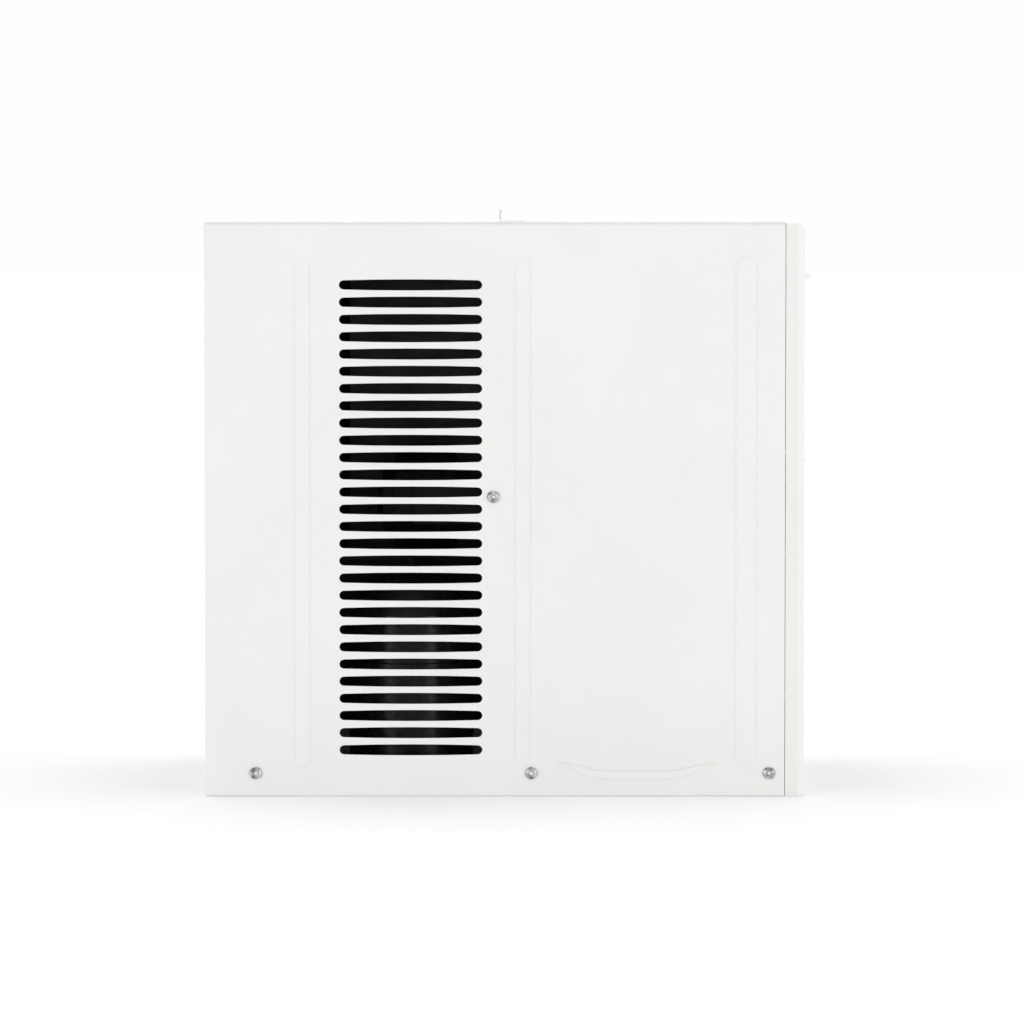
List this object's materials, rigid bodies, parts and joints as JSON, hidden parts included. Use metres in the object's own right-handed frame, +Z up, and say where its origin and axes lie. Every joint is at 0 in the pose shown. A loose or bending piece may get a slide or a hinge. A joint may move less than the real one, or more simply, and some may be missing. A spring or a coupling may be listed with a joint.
{
  "type": "window-mounted fan heater and room air conditioner",
  "caption": "Tall, narrow window-mounted room unit that warms air with a fan-driven electric heater or cools it, with swinging front grille and tilting outlet vanes.",
  "frame": {"origin": "middle of the flat underside, halfway between the side walls and halfway between the front face of the bezel and the rear edge of the cabinet", "axes": "+Z up, the room-side front faces -Y, the outdoor side faces +Y, +X is to the right seen from the front"},
  "size_m": [0.3908, 0.5741, 0.542],
  "materials": {
    "cabinet_paint": "satin white baked enamel on pressed sheet steel",
    "galvanised": "galvanised sheet, dull spangle",
    "moulded_white": "fine-textured white moulded plastic",
    "knob_plastic": "light grey moulded plastic, satin",
    "screw_zinc": "zinc-plated steel",
    "filter_plastic": "pale grey moulded frame",
    "filter_net": "dark woven polypropylene net",
    "foam_liner": "off-white moulded polystyrene",
    "fan_plastic": "black moulded polypropylene",
    "motor_enamel": "black motor enamel",
    "compressor_enamel": "semi-gloss black enamel",
    "fin_aluminium": "thin mill-finish fins",
    "copper_tube": "drawn copper tube, slightly dulled",
    "mica": "mica board",
    "element_sheath": "heat-darkened metal sheath",
    "switch_phenolic": "tan phenolic moulding",
    "capacitor_case": "drawn aluminium can",
    "black_rubber": "black rubber",
    "pipe_foam": "black closed-cell foam sleeve",
    "shaft_steel": "ground steel"
  },
  "bodies": {
    "cabinet": {"base_pan": "galvanised", "cabinet_wrapper": "cabinet_paint", "top_rail": "cabinet_paint", "rear_guard": "cabinet_paint", "cabinet_screws": "screw_zinc", "rail_screws": "screw_zinc", "front_bezel": "moulded_white", "control_panel": "moulded_white", "grille_hinge_pins": "screw_zinc", "mode_switch": "switch_phenolic", "thermostat_body": "galvanised", "control_box": "galvanised", "run_capacitor": "capacitor_case", "discharge_duct": "foam_liner", "heater_frame": "mica", "heater_element": "element_sheath", "thermal_cutout": "screw_zinc", "evaporator_fins": "fin_aluminium", "evaporator_tubes": "copper_tube", "evaporator_bends": "copper_tube", "drip_tray": "foam_liner", "blower_scroll": "foam_liner", "scroll_front": "galvanised", "fan_motor": "motor_enamel", "motor_bracket": "motor_enamel", "bulkhead": "galvanised", "fan_shroud": "galvanised", "condenser_fins": "fin_aluminium", "condenser_tubes": "copper_tube", "condenser_bends": "copper_tube", "compressor": "compressor_enamel", "accumulator": "compressor_enamel", "compressor_grommets": "black_rubber", "compressor_bolts": "screw_zinc", "refrigerant_pipes": "pipe_foam", "cord_bushing": "black_rubber"},
    "rotor": {"fan_shaft": "shaft_steel", "blower_wheel": "fan_plastic", "condenser_fan": "fan_plastic"},
    "grille": {"intake_grille": "moulded_white"},
    "filter": {"filter_frame": "filter_plastic", "filter_mesh": "filter_net"},
    "mode_control": {"mode_knob": "knob_plastic", "mode_shaft": "shaft_steel"},
    "thermostat_control": {"thermostat_knob": "knob_plastic", "thermostat_shaft": "shaft_steel"},
    "vent_rod": {"vent_pull": "knob_plastic"},
    "vent_flap": {"vent_door": "galvanised"},
    "vane_bar": {"vane_link": "moulded_white"},
    "deflector_bar": {"deflector_link": "moulded_white"},
    "upper_vane_1": {"vane_1": "moulded_white"},
    "upper_vane_2": {"vane_2": "moulded_white"},
    "upper_vane_3": {"vane_3": "moulded_white"},
    "upper_vane_4": {"vane_4": "moulded_white"},
    "blade_1": {"deflector_1": "moulded_white"},
    "blade_2": {"deflector_2": "moulded_white"},
    "blade_3": {"deflector_3": "moulded_white"},
    "blade_4": {"deflector_4": "moulded_white"},
    "blade_5": {"deflector_5": "moulded_white"},
    "blade_6": {"deflector_6": "moulded_white"}
  },
  "joints": [
    {"name": "fan_spin", "type": "hinge", "parent": "cabinet", "child": "rotor", "pos_m": [0, 0, 0.265], "axis": [0, 1, 0], "continuous": true},
    {"name": "grille_swing", "type": "hinge", "parent": "cabinet", "child": "grille", "pos_m": [0, -0.2705, 0.3], "axis": [-1, 0, 0], "range_deg": [0, 80]},
    {"name": "filter_slide", "type": "slide", "parent": "cabinet", "child": "filter", "axis": [1, 0, 0], "range_m": [0, 0.34]},
    {"name": "mode_turn", "type": "hinge", "parent": "cabinet", "child": "mode_control", "pos_m": [-0.04, -0.2768, 0.355], "axis": [0, 1, 0], "range_deg": [0, 300]},
    {"name": "thermostat_turn", "type": "hinge", "parent": "cabinet", "child": "thermostat_control", "pos_m": [0.06, -0.2768, 0.355], "axis": [0, 1, 0], "range_deg": [-135, 135]},
    {"name": "vent_pull_out", "type": "slide", "parent": "cabinet", "child": "vent_rod", "axis": [0, -1, 0], "range_m": [0, 0.012]},
    {"name": "vent_flap_lift", "type": "hinge", "parent": "cabinet", "child": "vent_flap", "pos_m": [0.15, -0.0019, 0.379], "axis": [-1, 0, 0], "range_deg": [0, 25.2]},
    {"name": "vane_tilt_1", "type": "hinge", "parent": "cabinet", "child": "upper_vane_1", "pos_m": [0, -0.2678, 0.4794], "axis": [1, 0, 0], "range_deg": [-30, 30]},
    {"name": "vane_tilt_2", "type": "hinge", "parent": "cabinet", "child": "upper_vane_2", "pos_m": [0, -0.2678, 0.4554], "axis": [1, 0, 0], "range_deg": [-30, 30]},
    {"name": "vane_tilt_3", "type": "hinge", "parent": "cabinet", "child": "upper_vane_3", "pos_m": [0, -0.2678, 0.4314], "axis": [1, 0, 0], "range_deg": [-30, 30]},
    {"name": "vane_tilt_4", "type": "hinge", "parent": "cabinet", "child": "upper_vane_4", "pos_m": [0, -0.2678, 0.4074], "axis": [1, 0, 0], "range_deg": [-30, 30]},
    {"name": "vane_bar_pivot", "type": "hinge", "parent": "upper_vane_1", "child": "vane_bar", "pos_m": [-0.156, -0.2598, 0.4794], "axis": [1, 0, 0], "range_deg": [-30, 30]},
    {"name": "blade_turn_1", "type": "hinge", "parent": "cabinet", "child": "blade_1", "pos_m": [-0.125, -0.238, 0.448], "axis": [0, 0, 1], "range_deg": [-30, 30]},
    {"name": "blade_turn_2", "type": "hinge", "parent": "cabinet", "child": "blade_2", "pos_m": [-0.075, -0.238, 0.448], "axis": [0, 0, 1], "range_deg": [-30, 30]},
    {"name": "blade_turn_3", "type": "hinge", "parent": "cabinet", "child": "blade_3", "pos_m": [-0.025, -0.238, 0.448], "axis": [0, 0, 1], "range_deg": [-30, 30]},
    {"name": "blade_turn_4", "type": "hinge", "parent": "cabinet", "child": "blade_4", "pos_m": [0.025, -0.238, 0.448], "axis": [0, 0, 1], "range_deg": [-30, 30]},
    {"name": "blade_turn_5", "type": "hinge", "parent": "cabinet", "child": "blade_5", "pos_m": [0.075, -0.238, 0.448], "axis": [0, 0, 1], "range_deg": [-30, 30]},
    {"name": "blade_turn_6", "type": "hinge", "parent": "cabinet", "child": "blade_6", "pos_m": [0.125, -0.238, 0.448], "axis": [0, 0, 1], "range_deg": [-30, 30]},
    {"name": "blade_bar_pivot", "type": "hinge", "parent": "blade_1", "child": "deflector_bar", "pos_m": [-0.125, -0.248, 0.3993], "axis": [0, 0, 1], "range_deg": [-30, 30]}
  ],
  "couplings": [
    {"joint": "vent_flap_lift", "follows": "vent_pull_out", "rad_per_m": 36},
    {"joint": "vane_tilt_2", "follows": "vane_tilt_1", "ratio": 1},
    {"joint": "vane_tilt_3", "follows": "vane_tilt_1", "ratio": 1},
    {"joint": "vane_tilt_4", "follows": "vane_tilt_1", "ratio": 1},
    {"joint": "vane_bar_pivot", "follows": "vane_tilt_1", "ratio": -1},
    {"joint": "blade_turn_2", "follows": "blade_turn_1", "ratio": 1},
    {"joint": "blade_turn_3", "follows": "blade_turn_1", "ratio": 1},
    {"joint": "blade_turn_4", "follows": "blade_turn_1", "ratio": 1},
    {"joint": "blade_turn_5", "follows": "blade_turn_1", "ratio": 1},
    {"joint": "blade_turn_6", "follows": "blade_turn_1", "ratio": 1},
    {"joint": "blade_bar_pivot", "follows": "blade_turn_1", "ratio": -1}
  ]
}
